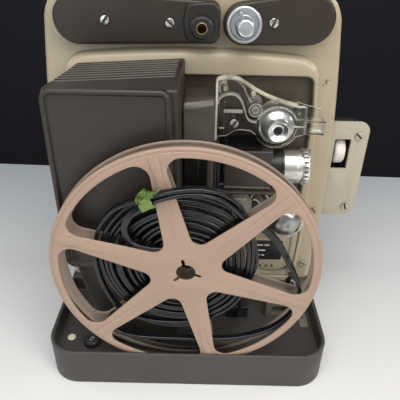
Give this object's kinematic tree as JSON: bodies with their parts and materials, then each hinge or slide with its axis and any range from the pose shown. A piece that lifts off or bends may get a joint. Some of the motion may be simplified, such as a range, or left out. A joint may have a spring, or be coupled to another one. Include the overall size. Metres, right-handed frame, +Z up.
{
  "type": "movie projector",
  "caption": "Small-gauge home movie projector with folding reel arms, lamp house, clear threading guide, focusing lens, base tray and a film reel that stores its mains cord",
  "frame": {"origin": "Centre of the base's underside, on the table", "axes": "+X the way the lens points, +Y away from the operator's side, +Z up"},
  "size_m": [0.246, 0.17, 0.2735],
  "materials": {
    "casing_paint": "fine-textured champagne beige enamel",
    "dark_paint": "semi-matt dark umber enamel",
    "base_paint": "textured dark umber enamel, chipped edges",
    "black_plastic": "moulded black plastic",
    "gloss_black": "polished black knob",
    "rubber": "soft black rubber",
    "cord_vinyl": "black twin flex",
    "chrome": "polished chrome plate",
    "steel": "zinc-plated steel",
    "aluminium": "turned satin aluminium",
    "brass": "turned brass",
    "clear_plastic": "clear moulded acrylic, frosted edges",
    "lens_glass": "coated lens glass",
    "lamp_glass": "clear lamp glass",
    "ceramic": "off-white steatite",
    "white_plastic": "ivory moulded plastic",
    "reel_plastic": "rose-brown satin moulded plastic",
    "fibre_gear": "laminated fibre",
    "tie_plastic": "green paper and wire twist tie",
    "cream_paint": "cream plug"
  },
  "bodies": {
    "root": {"base_tray": "base_paint", "base_feet": "rubber", "tray_bumper": "rubber", "tray_rivet": "cream_paint", "tray_catch": "steel", "front_casting": "casing_paint", "rear_cover": "casing_paint", "mechanism_plate": "dark_paint", "casing_screws": "steel", "lamp_house_body": "dark_paint", "lamp_house_duct": "dark_paint", "lamp": "lamp_glass", "lamp_socket": "ceramic", "gate_housing": "dark_paint", "film_gate": "steel", "lens_carrier": "dark_paint", "lens_collar": "black_plastic", "upper_film_guide": "clear_plastic", "guide_screws": "steel", "lower_film_guide": "clear_plastic", "control_plate": "casing_paint", "side_box_body": "dark_paint", "side_box_plate": "casing_paint", "arm_pivots": "steel", "motor": "steel", "drive_belt": "rubber", "power_inlet": "black_plastic"},
    "lamp_cover": {"lamp_house_cover": "dark_paint"},
    "gate_plate": {"pressure_plate": "steel"},
    "lens": {"lens_barrel": "aluminium", "lens_ring": "aluminium", "lens_front_glass": "lens_glass"},
    "upper_drive": {"upper_sprocket": "chrome", "upper_gear": "fibre_gear"},
    "lower_drive": {"lower_sprocket": "chrome", "lower_gear": "fibre_gear"},
    "roller_a": {"guide_roller": "aluminium"},
    "roller_b": {"exit_roller": "black_plastic"},
    "lever": {"control_lever": "steel", "lever_knob": "gloss_black"},
    "speed_wheel": {"thumbwheel": "white_plastic"},
    "rear_reel_arm": {"rear_arm": "dark_paint", "rear_arm_screws": "steel"},
    "rear_hub": {"rear_spindle_boss": "black_plastic", "rear_spindle_bush": "brass"},
    "front_reel_arm": {"front_arm": "dark_paint", "front_arm_screw": "steel"},
    "front_hub": {"front_spindle": "chrome"},
    "rotor": {"motor_shaft": "steel", "fan_wheel": "aluminium"},
    "shutter_drive": {"shutter": "black_plastic", "shutter_shaft": "steel"},
    "reel": {"reel_front_half": "reel_plastic", "reel_rear_half": "reel_plastic", "cord_coil": "cord_vinyl", "cord_lead_plug": "cord_vinyl", "cord_lead_connector": "cord_vinyl", "cord_plug": "black_plastic", "cord_connector": "black_plastic", "twist_tie": "tie_plastic"}
  },
  "joints": [
    {"name": "lamp_cover_lift", "type": "slide", "parent": "root", "child": "lamp_cover", "axis": [0, 0, 1], "range_m": [0, 0.13]},
    {"name": "gate_spring", "type": "slide", "parent": "root", "child": "gate_plate", "axis": [1, 0, 0], "range_m": [0, 0.002], "stiffness_N_per_m": 60},
    {"name": "focus", "type": "slide", "parent": "root", "child": "lens", "axis": [1, 0, 0], "range_m": [0, 0.003]},
    {"name": "motor_spin", "type": "hinge", "parent": "root", "child": "rotor", "pos_m": [0, 0.051, 0.075], "axis": [1, 0, 0], "continuous": true},
    {"name": "shutter_spin", "type": "hinge", "parent": "root", "child": "shutter_drive", "pos_m": [0.05, 0.02, 0.138], "axis": [1, 0, 0], "continuous": true},
    {"name": "upper_sprocket_turn", "type": "hinge", "parent": "root", "child": "upper_drive", "pos_m": [0.0584, 0, 0.1858], "axis": [0, 1, 0], "continuous": true},
    {"name": "lower_sprocket_turn", "type": "hinge", "parent": "root", "child": "lower_drive", "pos_m": [0.074, 0, 0.1044], "axis": [0, 1, 0], "continuous": true},
    {"name": "guide_roller_turn", "type": "hinge", "parent": "root", "child": "roller_a", "pos_m": [0.0432, -0.01, 0.197], "axis": [0, 1, 0], "continuous": true},
    {"name": "exit_roller_turn", "type": "hinge", "parent": "root", "child": "roller_b", "pos_m": [0.0726, -0.01, 0.1956], "axis": [0, 1, 0], "continuous": true},
    {"name": "control_lever_turn", "type": "hinge", "parent": "root", "child": "lever", "pos_m": [0.07, 0.002, 0.067], "axis": [0, 1, 0], "range_deg": [0, 60]},
    {"name": "thumbwheel_turn", "type": "hinge", "parent": "root", "child": "speed_wheel", "pos_m": [0.118, 0.0295, 0.1487], "axis": [1, 0, 0], "range_deg": [-140, 140]},
    {"name": "rear_arm_unfold", "type": "hinge", "parent": "root", "child": "rear_reel_arm", "pos_m": [-0.0735, 0, 0.2504], "axis": [0, -1, 0], "range_deg": [0, 135]},
    {"name": "front_arm_unfold", "type": "hinge", "parent": "root", "child": "front_reel_arm", "pos_m": [0.0758, 0, 0.2522], "axis": [0, 1, 0], "range_deg": [0, 135]},
    {"name": "rear_spindle_turn", "type": "hinge", "parent": "rear_reel_arm", "child": "rear_hub", "pos_m": [0.0063, -0.005, 0.247], "axis": [0, 1, 0], "continuous": true},
    {"name": "front_spindle_turn", "type": "hinge", "parent": "front_reel_arm", "child": "front_hub", "pos_m": [0.0333, -0.005, 0.2486], "axis": [0, 1, 0], "continuous": true},
    {"name": "reel_lift", "type": "slide", "parent": "root", "child": "reel", "axis": [0, 0, 1], "range_m": [0, 0.05]}
  ],
  "couplings": [
    {"joint": "shutter_spin", "follows": "motor_spin", "ratio": 0.6923},
    {"joint": "upper_sprocket_turn", "follows": "motor_spin", "ratio": 0.02885},
    {"joint": "lower_sprocket_turn", "follows": "motor_spin", "ratio": -0.04327}
  ]
}
